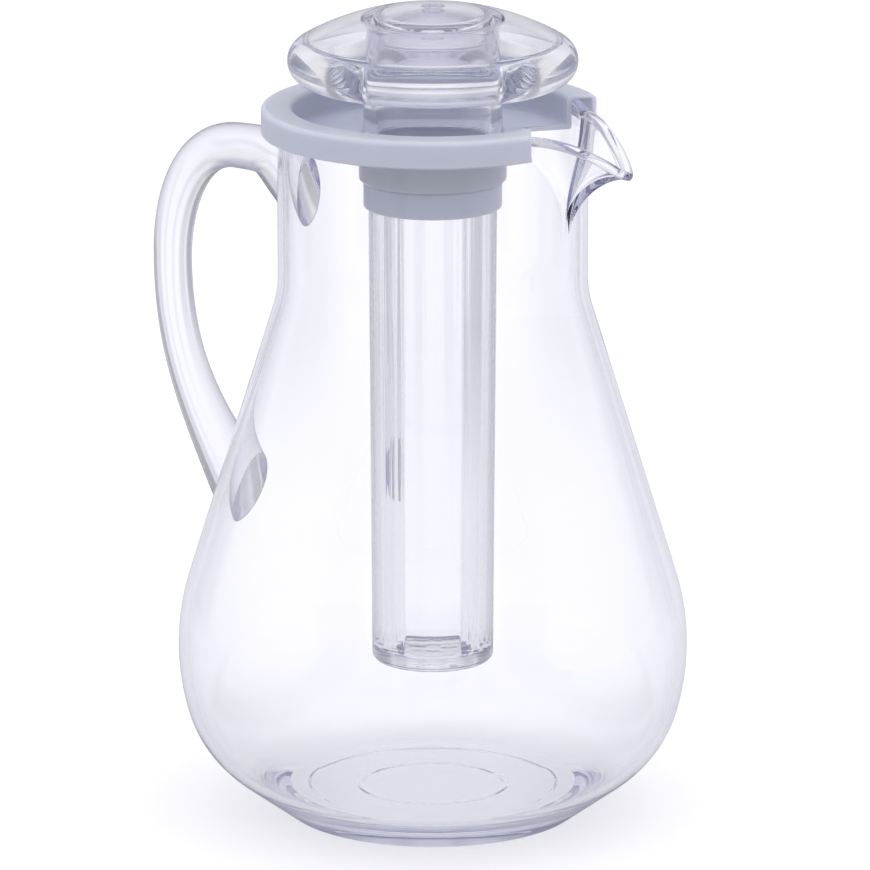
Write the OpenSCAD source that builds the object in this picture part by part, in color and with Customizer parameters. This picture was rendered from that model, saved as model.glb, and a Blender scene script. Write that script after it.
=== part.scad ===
// Clear pitcher with a drooping spout, a welded rod handle, a white lid and an ice tube.
// The jug's axis is Z, it stands on Z = 0, the spout points along +X and the handle along -X.

/* [Body] */
// Radius at the widest place
belly_r = 85.7; // [82:0.5:90]
// Height of the widest place
belly_z = 57; // [54:0.5:60]
// Radius of the arc that swells above and below the widest place
belly_arc = 80; // [76:1:84]
// Radius of the arc that rounds in towards the base
heel_arc = 40; // [36:1:44]
// Angle below the widest place where the heel arc takes over
heel_start = 16; // [13:1:19]
// Angle from vertical of the slope that runs down to the table
heel_slope = 53.5; // [51:0.5:56]
// Angle from vertical of the straight shoulder
shoulder_slope = 17.2; // [16:0.2:19]
// Outside radius of the neck
neck_r = 51.7; // [50:0.1:53]
// Radius of the blend from shoulder to neck
neck_blend = 35; // [20:1:50]
// Height of the top of the lip
lip_z = 240.8; // [232:0.2:250]
// Wall thickness
wall = 2.7; // [2.4:0.1:3]
// Radius of the bead round the lip
bead_r = 1.8; // [1.6:0.1:2]
// Thickness of the floor
floor_t = 7.2; // [5:0.2:9]
// Radius of the blend from floor to wall inside
floor_blend = 27; // [20:1:30]
// Radius of the recess under the floor
recess_r = 42.4; // [36:0.2:44]
// Depth of the recess under the floor
recess_d = 1; // [0.6:0.1:1.6]
// Radius of the turned ring in the recess
ring_mark_r = 24.8; // [18:0.2:32]
// Radius of the edge that stands on the table
foot_round = 1.2; // [0.8:0.1:2]

/* [Spout] */
// Reach of the spout from the axis, outside the wall
spout_reach = 74.6; // [70:0.2:80]
// Drop from the lip down to the spout's tip
spout_drop = 13.8; // [10:0.2:16]
// Height above the table where the spout springs from the neck
spout_root_z = 204.4; // [200:0.2:210]
// Half the angle of the neck that the spout takes up
spout_half = 30; // [26:0.5:33]
// How far the side lips arch above a straight line to the tip
spout_arch = 3.8; // [2:0.1:5]

/* [Handle] */
// Radius of the rod
rod_r = 6.5; // [6:0.1:7]
// Radius of the rod at its top bend
rod_top_r = 7.7; // [7:0.1:8.2]
// Radius of the rod where it spreads on to the body at the top
weld_top_r = 8.6; // [8:0.1:9]
// Radius of the rod where it spreads on to the body at the bottom
weld_low_r = 10.6; // [9:0.1:11]
// Gap between the top of the rod's crest and the foot of the lid's ring
crest_gap = 5.4; // [2:0.2:8]
// Height of the rod's crest above its upper weld
crest_rise = 12.5; // [11:0.5:15]
// Height of the lower weld
weld_low_z = 102.5; // [98:0.5:108]
// Reach of the rod's centre line from the jug's axis
handle_reach = 102; // [99:0.5:106]
// Height at which the rod reaches furthest out
handle_reach_z = 179; // [172:1:184]
// Distance of the rod's crest from the jug's axis
crest_r = 76; // [73:0.5:78]
// Angle above level at which the rod leaves the upper weld
weld_top_rise = 46; // [38:1:50]
// Angle below level at which the rod runs into the lower weld
weld_low_fall = 56; // [52:1:60]

/* [Lid] */
// Outside radius of the lid's ring
ring_r = 57; // [56.6:0.1:58]
// Height of the lid's ring
ring_h = 9; // [8:0.1:10.4]
// Wall thickness of the lid
lid_wall = 1.6; // [1.4:0.1:1.7]
// Thickness of the ring's top over the lip
roof_t = 1; // [0.8:0.1:1.6]
// Radius of the ring's rounded edges
ring_round = 1.5; // [1:0.1:1.6]
// Height of the dish floor's top face under the ring's top face
dish_d = 9.6; // [9:0.1:10.6]
// Wall thickness of the socket
socket_wall = 1.4; // [1.2:0.1:1.7]
// Length of the socket under the dish
socket_h = 14; // [13:0.2:18]
// Turn from the spout to the gap's side that points at the axis
gap_far = 46.5; // [45:0.5:48]
// Turn from the spout to where the gap's other side meets the ring's outside
gap_near = 25.7; // [24:0.1:28]
// Angle between the gap's two sides
gap_open = 105; // [103:0.5:108]

/* [Ice tube] */
// Outside radius of the tube at its top
tube_r = 21.4; // [21:0.1:21.8]
// Outside radius of the tube at its foot
tube_foot_r = 20.4; // [20:0.1:20.8]
// Height of the tube's foot above the table
tube_foot_z = 51.6; // [40:0.2:70]
// Radius of the foot's rounded edge
tube_round = 2.4; // [1.5:0.1:3]
// Thickness of the tube's floor
tube_floor = 3.4; // [2.5:0.1:4.5]
// Thinnest wall, at the corners of the six-sided bore
tube_wall = 3; // [2.6:0.1:3.4]
// Radius of the blend round the bore's floor
bore_round = 3; // [2:0.1:4]
// Width of the flange at the tube's mouth
flange_w = 0.9; // [0.6:0.05:1]
// Thickness of the flange
flange_t = 1.8; // [1.2:0.1:2.4]
// Wall of the white sleeve that holds the tube
sleeve_wall = 1.65; // [1.5:0.05:1.9]
// Length of the sleeve that shows under the lid's socket
sleeve_show = 8.6; // [6:0.2:10]

/* [Cap] */
// Largest radius of the clear cap
cap_r = 48.2; // [45:0.2:50]
// Radius of the rounded rim's section
cap_round = 7.5; // [7:0.1:8]
// Radius of the domed top
cap_dome = 90; // [80:1:110]
// Gap from the lid's ring top to the cap's underside
cap_lift = 7.8; // [5:0.2:10]
// Distance from the axis to the corners of the six-sided hollow
hollow_r = 41.8; // [38:0.2:42]
// Thickness of the domed top over the hollow
cap_t = 3.6; // [3:0.1:4.5]
// Outside radius of the stem where it stands on the dish
stem_r = 23.4; // [23:0.1:24]
// Outside radius of the stem at its top
stem_top_r = 21.6; // [21:0.1:22]
// Wall thickness of the spigot
stem_wall = 3.2; // [2.2:0.1:3.6]
// How much slimmer the spigot is than the tube's flange
spigot_step = 0.5; // [0.4:0.1:0.8]
// Length of the spigot that plugs into the lid
spigot_h = 5.2; // [3:0.2:5.6]
// Radius of the dimple on top
dimple_r = 2.7; // [2:0.1:4]
// Depth of the dimple
dimple_d = 0.5; // [0.3:0.1:0.8]

/* [Hidden] */

// Clearance of parts that slide or plug together
fit_gap = 0.08;
// Clearance of parts that are glued
glue_gap = 0.05;
// Gap under parts that rest on one another
rest_gap = 0.3;
// How far cuts run past a face
over = 1;
// How far solids reach into the wall that they join
bury = 0.6;
// Facets of a full turn
turns = 96;
// Steps in each arc of an outline
arc_steps = 6;

// A unit step in the direction of an angle
function dir(a) = [cos(a), sin(a)];
// Points along an arc
function arc(c, r, a, b, n = arc_steps) = [for (i = [0:n]) c + r * dir(a + (b - a) * i / n)];

// Where the arcs of the body's outline begin and end
belly_c = [belly_r - belly_arc, belly_z];
shoulder_p = belly_c + belly_arc * dir(shoulder_slope);
neck_corner_z = shoulder_p[1] + (shoulder_p[0] - neck_r) / tan(shoulder_slope);
blend_c = [neck_r + neck_blend, neck_corner_z + neck_blend * tan(shoulder_slope / 2)];
heel_c = belly_c + (belly_arc - heel_arc) * dir(-heel_start);
heel_p = heel_c + heel_arc * dir(-heel_slope);
foot_r = heel_p[0] - heel_p[1] * tan(heel_slope);
foot_c_r = foot_r + foot_round * ((1 - sin(heel_slope)) * tan(heel_slope) - cos(heel_slope));
floor_z = recess_d + floor_t;
floor_c_z = floor_z + floor_blend;
floor_reach = heel_c * dir(-heel_slope) + heel_arc - wall - floor_blend;
floor_c_r = (floor_reach - floor_c_z * sin(-heel_slope)) / cos(heel_slope);
neck_in_r = neck_r - wall;
land_z = lip_z - bead_r;
lip_r = neck_r - wall / 2;

// The turned ring and the sloping edge of the recess
mark_w = 1.2;
mark_h = 0.5;
recess_lean = 0.3;

// Share of straight line in the keel's curve, and how blunt the spout's nose is
keel_straight_share = 0.2;
nose_share = 0.12;
// Power that opens the creases out as they climb the neck
crease_power_share = 1.8;
// Power that crowds the columns towards the nose
crowd_share = 1.3;
// First row of the spout, above its apex
first_row_share = 0.1;
// Rows up the spout, and columns on each side of its nose
spout_rows = 9;
spout_cols = 7;
// Shares of the wall by which the inner surface starts higher, ends higher and stops shorter
root_share = 0.6;
tip_share = 0.7;
reach_share = 1.4;
// How much less of the neck the inner surface takes up
half_step = 1;
spout_tip_z = land_z - spout_drop;

// The pull of the handle's curves, as shares of the straight line between their ends
top_pull_share = 0.61;
crest_in_share = 0.58;
crest_out_share = 0.37;
back_in_share = 0.4;
back_out_share = 0.4;
low_pull_share = 0.38;
// Power that holds the rod slim until it nears the lower weld
slim_power_share = 3;
// How far the rod runs on into the body, as a share of its radius
run_on_share = 1.2;
// Steps in each curve of the handle, and sides of the rod
rod_steps = 9;
rod_sides = 20;

// Rings round the lip, and sides of its bead
lip_steps = 56;
bead_sides = 8;

// Heights and radii of the lid, worked up from the lip that it sits on
roof_z = lip_z + rest_gap;
ring_top = roof_z + roof_t;
ring_foot = ring_top - ring_h;
dish_z = ring_top - dish_d;
dish_under = dish_z - lid_wall;
ring_in_r = lip_r - bead_r - rest_gap - lid_wall;
socket_foot = dish_under - socket_h;
socket_bevel = 1;
// Where the two sides of the gap over the spout meet
gap_corner = ring_r * sin(gap_open - gap_far - gap_near) / sin(gap_open) * dir(gap_far);

// The sleeve and the tube hang in the lid's socket
sleeve_in_r = tube_r + glue_gap;
sleeve_out_r = sleeve_in_r + sleeve_wall;
socket_in_r = sleeve_out_r + fit_gap;
socket_out_r = socket_in_r + socket_wall;
sleeve_foot = socket_foot - sleeve_show;
tube_top = dish_z - spigot_h - rest_gap;
flange_seat = tube_top - flange_t;
flange_r = tube_r + flange_w;
taper_top = sleeve_foot - sleeve_wall;
bore_r = tube_r - tube_wall;
bore_foot_r = tube_foot_r - tube_wall;
bore_floor = tube_foot_z + tube_floor;
// Corner-to-flat share of a six-sided hollow
flat_share = cos(30);

// The cap stands on the dish and plugs through its hole
spigot_r = flange_r - spigot_step;
dish_hole_r = spigot_r + fit_gap;
cap_foot = ring_top + cap_lift;
cap_round_c = [cap_r - cap_round, cap_foot + cap_round];
dome_rise = sqrt(pow(cap_dome - cap_round, 2) - pow(cap_round_c[0], 2));
dome_c_z = cap_round_c[1] - dome_rise;
dome_edge = atan(dome_rise / cap_round_c[0]);
cap_apex = dome_c_z + cap_dome;
ceiling_r = cap_dome - cap_t;
dimple_ball = (dimple_r * dimple_r + dimple_d * dimple_d) / (2 * dimple_d);
dimple_lift = dimple_ball - dimple_d;

// A point and a row of points on a cubic curve through four control points
function cubic(p, t) = pow(1 - t, 3) * p[0] + 3 * t * pow(1 - t, 2) * p[1]
    + 3 * t * t * (1 - t) * p[2] + t * t * t * p[3];

// The control points of a curve that leaves p along u and comes into q along v
function pulled(p, u, q, v, a, b) = [p, p + a * norm(q - p) * u, q - b * norm(q - p) * v, q];

// The body's outline from the heel up to the neck, set in by a wall thickness
function side(t) = concat(
    arc(heel_c, heel_arc - t, -heel_slope, -heel_start),
    arc(belly_c, belly_arc - t, -heel_start + heel_start / arc_steps, shoulder_slope),
    arc(blend_c, neck_blend + t, 180 + shoulder_slope, 180)
);

// How far a place across the spout is from its nose, from zero there to one at the creases
function off_nose(q) = (sqrt(q * q + nose_share * nose_share) - nose_share)
    / (sqrt(1 + nose_share * nose_share) - nose_share);

// A point on the spout: t climbs the keel, q runs from one crease over the nose to the other
function spout_point(t, q, r, root_z, reach, tip_z, half) = let (
    keel_r = r + (reach - r) * (keel_straight_share * t
        + (1 - keel_straight_share) * (1 - sqrt(1 - t * t))),
    keel_z = root_z + (tip_z - root_z) * t,
    side_z = root_z + (land_z - root_z) * t,
    a = half * pow(t, crease_power_share),
    h = off_nose(q)
) [
    keel_r + (r * cos(a) - keel_r) * h,
    r * sin(a) * q,
    keel_z + (side_z - keel_z) * h + spout_arch * t * 4 * h * (1 - h)
];
function column(j) = sign(j) * pow(abs(j) / spout_cols, crowd_share);
function spout_row(t, s) = [for (j = [-spout_cols:spout_cols])
    spout_point(t, column(j), s[0], s[1], s[2], s[3], s[4])];
// Rows from the apex to the lip, close together where the keel turns level
function spout_rows_of(s) = [for (i = [0:spout_rows])
    spout_row(first_row_share + (1 - first_row_share) * sin(90 * i / spout_rows), s)];
// A row raised by h at the nose and not at all at the creases
function raised(row, h) = [for (j = [0:len(row) - 1])
    row[j] + [0, 0, h * (1 - off_nose(column(j - spout_cols)))]];
function lifted(row, z) = [for (p = row) [p[0], p[1], z]];
// A row joined up with its shadow half way back to the axis
function shadowed(row) = concat(row, [for (j = [len(row) - 1:-1:0])
    [row[j][0] / 2, row[j][1] / 2, row[j][2]]]);

outer_spout = [neck_r - bury, spout_root_z, spout_reach, spout_tip_z, spout_half];
inner_spout = [
    neck_in_r - bury,
    spout_root_z + wall * root_share,
    spout_reach - wall * reach_share,
    spout_tip_z + wall * tip_share,
    spout_half - half_step
];
mid_spout = [
    lip_r,
    spout_root_z,
    spout_reach - wall / 2,
    spout_tip_z + wall * tip_share / 2,
    spout_half - half_step / 2
];

// A closed skin over rows of points that run one way out and the other way back
module skin(rings) {
    n = len(rings[0]);
    last = len(rings) - 1;
    sides = [for (i = [0:last - 1]) for (j = [0:n - 1])
        let (k = (j + 1) % n, a = i * n, b = (i + 1) * n)
        each [[a + j, b + k, a + k], [a + j, b + j, b + k]]];
    floor_faces = [for (j = [0:n / 2 - 2])
        each [[j, j + 1, n - 2 - j], [j, n - 2 - j, n - 1 - j]]];
    top = last * n;
    top_faces = [for (j = [0:n / 2 - 2])
        each [[top + j, top + n - 2 - j, top + j + 1], [top + j, top + n - 1 - j, top + n - 2 - j]]];
    polyhedron(points = [for (ring = rings) each ring], faces = concat(sides, floor_faces, top_faces));
}

// Points of a round section about p, square to the direction d
function section(p, d, r, n) = let (
    t = d / norm(d),
    u = cross(t, abs(t[1]) > flat_share ? [1, 0, 0] : [0, 1, 0]),
    e = u / norm(u),
    f = cross(t, e)
) [for (i = [0:n - 1]) p + r * (cos(360 * i / n) * e + sin(360 * i / n) * f)];

// A solid that follows a line of points, with a radius at each
module sweep(line, radii, n) {
    last = len(line) - 1;
    rings = [for (i = [0:last])
        section(line[i], line[min(i + 1, last)] - line[max(i - 1, 0)], radii[i], n)];
    sides = [for (i = [0:last - 1]) for (j = [0:n - 1])
        let (k = (j + 1) % n, a = i * n, b = (i + 1) * n)
        each [[a + j, b + k, a + k], [a + j, b + j, b + k]]];
    ends = [[for (j = [0:n - 1]) j], [for (j = [n - 1:-1:0]) last * n + j]];
    polyhedron(points = [for (ring = rings) each ring], faces = concat(sides, ends));
}

module turned(outline) rotate_extrude($fn = turns) polygon(outline);

// The body's outside as a solid, grown by a clearance
module outside(grow) turned(concat(
    [[0, 0]],
    arc([foot_c_r, foot_round], foot_round + grow, -90, -heel_slope),
    side(-grow),
    [[neck_r + grow, land_z], [0, land_z]]
));

module inside() turned(concat(
    [[0, floor_z]],
    arc([floor_c_r, floor_c_z], floor_blend, -90, -heel_slope),
    side(wall),
    [[neck_in_r, lip_z + over], [0, lip_z + over]]
));

module recess() turned([
    [0, -over],
    [0, recess_d],
    [ring_mark_r - mark_w / 2, recess_d],
    [ring_mark_r, recess_d - mark_h],
    [ring_mark_r + mark_w / 2, recess_d],
    [recess_r, recess_d],
    [recess_r + recess_lean, 0],
    [recess_r + recess_lean, -over]
]);

module spout_solid() {
    rows = spout_rows_of(outer_spout);
    skin([for (row = concat(rows, [raised(rows[spout_rows], wall * tip_share)])) shadowed(row)]);
}

module spout_hollow() {
    rows = spout_rows_of(inner_spout);
    skin([for (row = concat(rows, [lifted(rows[spout_rows], lip_z + over)])) shadowed(row)]);
}

// The rounded lip runs round the neck and out along the spout
module bead() {
    nose_row = spout_row(1, mid_spout);
    half = mid_spout[4];
    round_row = [for (i = [1:lip_steps - 1]) let (a = half + (360 - 2 * half) * i / lip_steps)
        [lip_r * cos(a), lip_r * sin(a), land_z]];
    line = concat(nose_row, round_row);
    n = len(line);
    rings = [for (i = [0:n - 1]) let (
        t = line[(i + 1) % n] - line[(i + n - 1) % n],
        u = cross(t, [0, 0, 1]),
        e = u / norm(u),
        f = cross(t, e) / norm(t)
    ) [for (j = [0:bead_sides - 1]) let (a = 360 * j / bead_sides)
        line[i] + bead_r * (cos(a) * e + sin(a) * f)]];
    sides = [for (i = [0:n - 1]) for (j = [0:bead_sides - 1])
        let (k = (j + 1) % bead_sides, a = i * bead_sides, b = ((i + 1) % n) * bead_sides)
        each [[a + j, b + k, a + k], [a + j, b + j, b + k]]];
    polyhedron(points = [for (ring = rings) each ring], faces = sides);
}

module pitcher_body() color("lightcyan") {
    difference() {
        union() {
            outside(0);
            spout_solid();
        }
        inside();
        spout_hollow();
        recess();
    }
    bead();
}

// The rod leaves the neck, rises over a crest, runs down the back and turns in to the body
module handle() color("azure") {
    crest_p = [crest_r, ring_foot - crest_gap - rod_top_r];
    top_p = [neck_r, crest_p[1] - crest_rise];
    top_d = dir(weld_top_rise);
    back_p = [handle_reach, handle_reach_z];
    low_p = [shoulder_p[0] - (weld_low_z - shoulder_p[1]) * tan(shoulder_slope), weld_low_z];
    low_d = -dir(weld_low_fall);
    steps = [for (i = [0:rod_steps]) i / rod_steps];
    rise = pulled(top_p, top_d, crest_p, [1, 0], top_pull_share, crest_in_share);
    bend = pulled(crest_p, [1, 0], back_p, [0, -1], crest_out_share, back_in_share);
    fall = pulled(back_p, [0, -1], low_p, low_d, back_out_share, low_pull_share);
    line = concat(
        [top_p - weld_top_r * run_on_share * top_d],
        [for (t = steps) cubic(rise, t)],
        [for (t = steps) if (t > 0) cubic(bend, t)],
        [for (t = steps) if (t > 0) cubic(fall, t)],
        [low_p + weld_low_r * run_on_share * low_d]
    );
    radii = concat(
        [weld_top_r],
        [for (t = steps) weld_top_r + (rod_top_r - weld_top_r) * t],
        [for (t = steps) if (t > 0) rod_top_r + (rod_r - rod_top_r) * t],
        [for (t = steps) if (t > 0) rod_r + (weld_low_r - rod_r) * pow(t, slim_power_share)],
        [weld_low_r]
    );
    difference() {
        sweep([for (p = line) [-p[0], 0, p[1]]], radii, rod_sides);
        outside(glue_gap);
    }
}

module lid() color("aliceblue") difference() {
    turned(concat(
        [[ring_r - lid_wall, ring_foot], [ring_r, ring_foot]],
        arc([ring_r - ring_round, ring_top - ring_round], ring_round, 0, 90),
        arc([ring_in_r + ring_round, ring_top - ring_round], ring_round, 90, 180),
        [
            [ring_in_r, dish_z],
            [dish_hole_r, dish_z],
            [dish_hole_r, dish_under],
            [socket_in_r, dish_under],
            [socket_in_r, socket_foot],
            [socket_out_r - socket_bevel, socket_foot],
            [socket_out_r, socket_foot + socket_bevel],
            [socket_out_r, dish_under],
            [ring_in_r + lid_wall, dish_under],
            [ring_in_r + lid_wall, roof_z],
            [ring_r - lid_wall, roof_z]
        ]
    ));
    translate([0, 0, dish_under - over]) linear_extrude(dish_d + lid_wall + 2 * over) polygon([
        gap_corner,
        gap_corner + 2 * ring_r * dir(gap_far),
        gap_corner + 2 * ring_r * dir(gap_far - gap_open)
    ]);
}

module tube_sleeve() color("ghostwhite") turned([
    [sleeve_in_r, sleeve_foot],
    [sleeve_out_r, sleeve_foot],
    [sleeve_out_r, tube_top],
    [flange_r + glue_gap, tube_top],
    [flange_r + glue_gap, flange_seat - glue_gap],
    [sleeve_in_r, flange_seat - glue_gap]
]);

module ice_tube() color("paleturquoise") difference() {
    turned(concat(
        [[0, tube_foot_z]],
        arc([tube_foot_r - tube_round, tube_foot_z + tube_round], tube_round, -90, 0),
        [
            [tube_r, taper_top],
            [tube_r, flange_seat],
            [flange_r, flange_seat],
            [flange_r, tube_top],
            [0, tube_top]
        ]
    ));
    intersection() {
        translate([0, 0, tube_foot_z])
            rotate(30) cylinder(h = tube_top + over - tube_foot_z, r1 = bore_foot_r, r2 = bore_r, $fn = 6);
        turned(concat(
            [[0, bore_floor]],
            arc([bore_foot_r * flat_share - bore_round + bury, bore_floor + bore_round], bore_round, -90, 0),
            [
                [bore_r + over, bore_floor + 2 * bore_round],
                [bore_r + over, tube_top + 2 * over],
                [0, tube_top + 2 * over]
            ]
        ));
    }
}

module ceiling(z) turned(concat(
    [[0, z]],
    [[cap_r, z]],
    arc([0, dome_c_z], ceiling_r, dome_edge, 90, 2 * arc_steps)
));

module cap() color("lavenderblush") difference() {
    union() {
        difference() {
            turned(concat(
                [[0, cap_foot]],
                arc(cap_round_c, cap_round, -90, dome_edge, 2 * arc_steps),
                arc([0, dome_c_z], cap_dome, dome_edge + dome_edge / arc_steps / 4, 90, 2 * arc_steps)
            ));
            intersection() {
                translate([0, 0, cap_foot - over])
                    rotate(30) cylinder(h = cap_apex - cap_foot, r = hollow_r, $fn = 6);
                ceiling(cap_foot - 2 * over);
            }
        }
        turned([
            [0, dish_z - spigot_h],
            [spigot_r, dish_z - spigot_h],
            [spigot_r, dish_z + glue_gap],
            [stem_r, dish_z + glue_gap],
            [stem_top_r, cap_apex - cap_t - over],
            [0, cap_apex - cap_t - over]
        ]);
    }
    intersection() {
        translate([0, 0, dish_z - spigot_h - over])
            cylinder(h = cap_apex - dish_z + spigot_h, r = spigot_r - stem_wall, $fn = turns);
        ceiling(dish_z - spigot_h - 2 * over);
    }
    translate([0, 0, cap_apex + dimple_lift]) sphere(r = dimple_ball, $fn = turns);
}

pitcher_body();
handle();
lid();
tube_sleeve();
ice_tube();
cap();
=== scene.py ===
import bpy
import numpy as np
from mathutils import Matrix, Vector


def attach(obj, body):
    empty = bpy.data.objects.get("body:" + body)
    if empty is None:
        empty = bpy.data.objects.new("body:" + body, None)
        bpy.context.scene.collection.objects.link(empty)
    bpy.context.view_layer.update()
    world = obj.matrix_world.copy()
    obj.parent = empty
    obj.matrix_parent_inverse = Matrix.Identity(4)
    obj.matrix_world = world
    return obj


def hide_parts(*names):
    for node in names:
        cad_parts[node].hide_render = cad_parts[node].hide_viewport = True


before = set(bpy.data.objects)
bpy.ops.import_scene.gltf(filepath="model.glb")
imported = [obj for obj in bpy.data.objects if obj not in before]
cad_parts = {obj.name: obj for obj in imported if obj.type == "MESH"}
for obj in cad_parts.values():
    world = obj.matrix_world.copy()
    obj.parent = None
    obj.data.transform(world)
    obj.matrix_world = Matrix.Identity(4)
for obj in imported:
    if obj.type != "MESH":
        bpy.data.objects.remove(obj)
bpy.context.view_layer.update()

# PITCHER BODY
# Clear injection-moulded plastic, blown out to a pear shape in one piece with its neck.
# The lip is drawn out and down into a pinched spout while the plastic is warm, and a
# rounded bead runs round the whole mouth. A turned ring is left in the recess underneath.

# The pieces' sizes are in millimetres and degrees, and skin() turns them into metres. The finishes, the
# table and the light are in metres.
BELLY_R = 85.7
BELLY_Z = 57.0
BELLY_ARC = 80.0
HEEL_ARC = 40.0
HEEL_START = 16.0
HEEL_SLOPE = 53.5
SHOULDER = 17.2
NECK_R = 51.7
NECK_BLEND = 35.0
WALL = 2.7
LIP_Z = 240.8
BEAD_R = 1.8
FLOOR_T = 7.2
FLOOR_BLEND = 27.0
FOOT_ROUND = 1.2
RECESS_D = 1.0
RECESS_TOP_R = 41.9
RECESS_R = 42.75
TURNED_RING_R = 24.8
TURNED_RING_HALF = 1.8
TURNED_RING_D = 0.4
NEAR_AXIS = 0.01

LAND_Z = LIP_Z - BEAD_R
LIP_R = NECK_R - WALL / 2
FLOOR_Z = RECESS_D + FLOOR_T
BELLY_C = np.array([BELLY_R - BELLY_ARC, BELLY_Z])


def toward(degrees):
    """Unit steps in the directions of some angles, as rows of (radius, height)."""
    a = np.radians(np.asarray(degrees, float))
    return np.stack([np.cos(a), np.sin(a)], -1)


def arc(centre, radius, start, end, steps):
    """Points of a circular arc: centre plus radius times the direction of each angle."""
    return np.asarray(centre, float) + radius * toward(np.linspace(start, end, steps + 1))


SHOULDER_P = BELLY_C + BELLY_ARC * toward(SHOULDER)
CORNER_Z = SHOULDER_P[1] + (SHOULDER_P[0] - NECK_R) / np.tan(np.radians(SHOULDER))
BLEND_C = np.array([NECK_R + NECK_BLEND, CORNER_Z + NECK_BLEND * np.tan(np.radians(SHOULDER / 2))])
HEEL_C = BELLY_C + (BELLY_ARC - HEEL_ARC) * toward(-HEEL_START)


def side_outline(inset):
    """The body's outline from heel to neck: three arcs that meet in tangent lines, each set in by inset."""
    lean = BELLY_C + (BELLY_ARC - inset) * toward(SHOULDER)
    blend = arc(BLEND_C, NECK_BLEND + inset, 180 + SHOULDER, 180, 14)
    straight = lean + (blend[0] - lean) * np.linspace(0.05, 0.95, 14)[:, None]
    return np.vstack([
        arc(HEEL_C, HEEL_ARC - inset, -HEEL_SLOPE, -HEEL_START, 16),
        arc(BELLY_C, BELLY_ARC - inset, -HEEL_START + 1.4, SHOULDER, 22),
        straight,
        blend,
    ])


def heel_turn(inset, radius, level, steps):
    """An arc of some radius that touches a level line and the heel's slope, set in by inset from the
    outside."""
    slope, height = np.radians(HEEL_SLOPE), level + radius
    stand = HEEL_C @ toward(-HEEL_SLOPE) + HEEL_ARC - inset - radius
    return arc([(stand + height * np.sin(slope)) / np.cos(slope), height], radius, -90, -HEEL_SLOPE, steps)


def line(a, b, steps):
    """Evenly spaced points from a to b without the two ends."""
    return np.asarray(a, float) + np.subtract(b, a) * np.linspace(0, 1, steps + 2)[1:-1, None]


def rounded(corners, steps=5):
    """A polyline through corners given as rows of (radius, height, rounding). Each corner but the first
    and the last is replaced by a tangent arc of its rounding, with a point just before and just after
    it."""
    rows = np.asarray(corners, float)
    out = [rows[:1, :2]]
    for before, p, after, rounding in zip(rows[:-2, :2], rows[1:-1, :2], rows[2:, :2], rows[1:-1, 2]):
        u, v = (before - p) / np.linalg.norm(before - p), (after - p) / np.linalg.norm(after - p)
        half = np.arccos(np.clip(u @ v, -1, 1)) / 2
        reach, sweep = rounding / np.tan(half), np.pi - 2 * half
        centre = p + (u + v) / np.linalg.norm(u + v) * rounding / np.sin(half)
        share = np.linspace(0, 1, steps + 1)[:, None]
        start, end = p + u * reach - centre, p + v * reach - centre
        bend = centre + (start * np.sin((1 - share) * sweep) + end * np.sin(share * sweep)) / np.sin(sweep)
        out += [(p + u * reach * 1.25)[None], bend, (p + v * reach * 1.25)[None]]
    return np.vstack([*out, rows[-1:, :2]])


# The spout's own sizes: how far it reaches, how far its tip droops and where its keel leaves the neck.
SPOUT_ROOT_Z = 204.4
SPOUT_REACH = 74.6
SPOUT_DROP = 13.8
SPOUT_HALF = 30.0
SPOUT_ARCH = 3.8
SPOUT_OPENING = 1.8
KEEL_LEAN = 0.2
NOSE_BLUNT = 0.12
INNER_ROOT_LIFT = 1.6
INNER_TIP_BACK = 3.8
INNER_TIP_LIFT = 1.9
TIP_Z = LAND_Z - SPOUT_DROP

# Each skin of the spout: neck radius, foot of the keel, reach of the tip, height of the tip, half angle.
OUTER = (NECK_R, SPOUT_ROOT_Z, SPOUT_REACH, TIP_Z, SPOUT_HALF)
MIDDLE = (LIP_R, SPOUT_ROOT_Z, SPOUT_REACH - WALL / 2, TIP_Z + INNER_TIP_LIFT / 2, SPOUT_HALF - 0.5)
INNER_ROOT_Z, INNER_REACH = SPOUT_ROOT_Z + INNER_ROOT_LIFT, SPOUT_REACH - INNER_TIP_BACK
INNER = (NECK_R - WALL, INNER_ROOT_Z, INNER_REACH, TIP_Z + INNER_TIP_LIFT, SPOUT_HALF - 1)


def off_nose(q):
    """Share of the way from the spout's nose to its creases: a hyperbola that is round at q = 0 and
    straight beyond."""
    blunt = NOSE_BLUNT
    return (np.sqrt(q * q + blunt * blunt) - blunt) / (np.sqrt(1 + blunt * blunt) - blunt)


def spout(t, q, r, root_z, reach, tip_z, half):
    """The spout as t climbs its keel and q crosses it from crease to crease. The keel leaves the neck
    steeply and turns level at the tip, as a quarter ellipse with a little lean; the creases open as t to
    the power SPOUT_OPENING; between them the section is a rounded V whose sides arch up."""
    keel_r = r + (reach - r) * (KEEL_LEAN * t + (1 - KEEL_LEAN) * (1 - np.sqrt(np.clip(1 - t * t, 0, 1))))
    keel_z, side_z = root_z + (tip_z - root_z) * t, root_z + (LAND_Z - root_z) * t
    a, h = np.radians(half * t**SPOUT_OPENING), off_nose(q)
    x = keel_r + (r * np.cos(a) - keel_r) * h
    z = keel_z + (side_z - keel_z) * h + SPOUT_ARCH * t * 4 * h * (1 - h)
    return np.stack(np.broadcast_arrays(x, r * np.sin(a) * q, z), -1)


# Half the angle that the fan of close columns takes up: least at the spout's foot, widest low on the body.
FAN_LEAST, FAN_WIDEST, FAN_FALL = 3.0, 12.0, 40.0
across = np.linspace(-1, 1, 57)
across = np.sign(across) * np.abs(across) ** 1.3
beyond = np.linspace(0, 1, 169)[1:-1]


def columns(fan):
    """Angles of the mesh's columns: a fan round the spout and even steps round the rest."""
    return np.radians(np.concatenate([fan * across, fan + (360 - 2 * fan) * beyond]))


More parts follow.
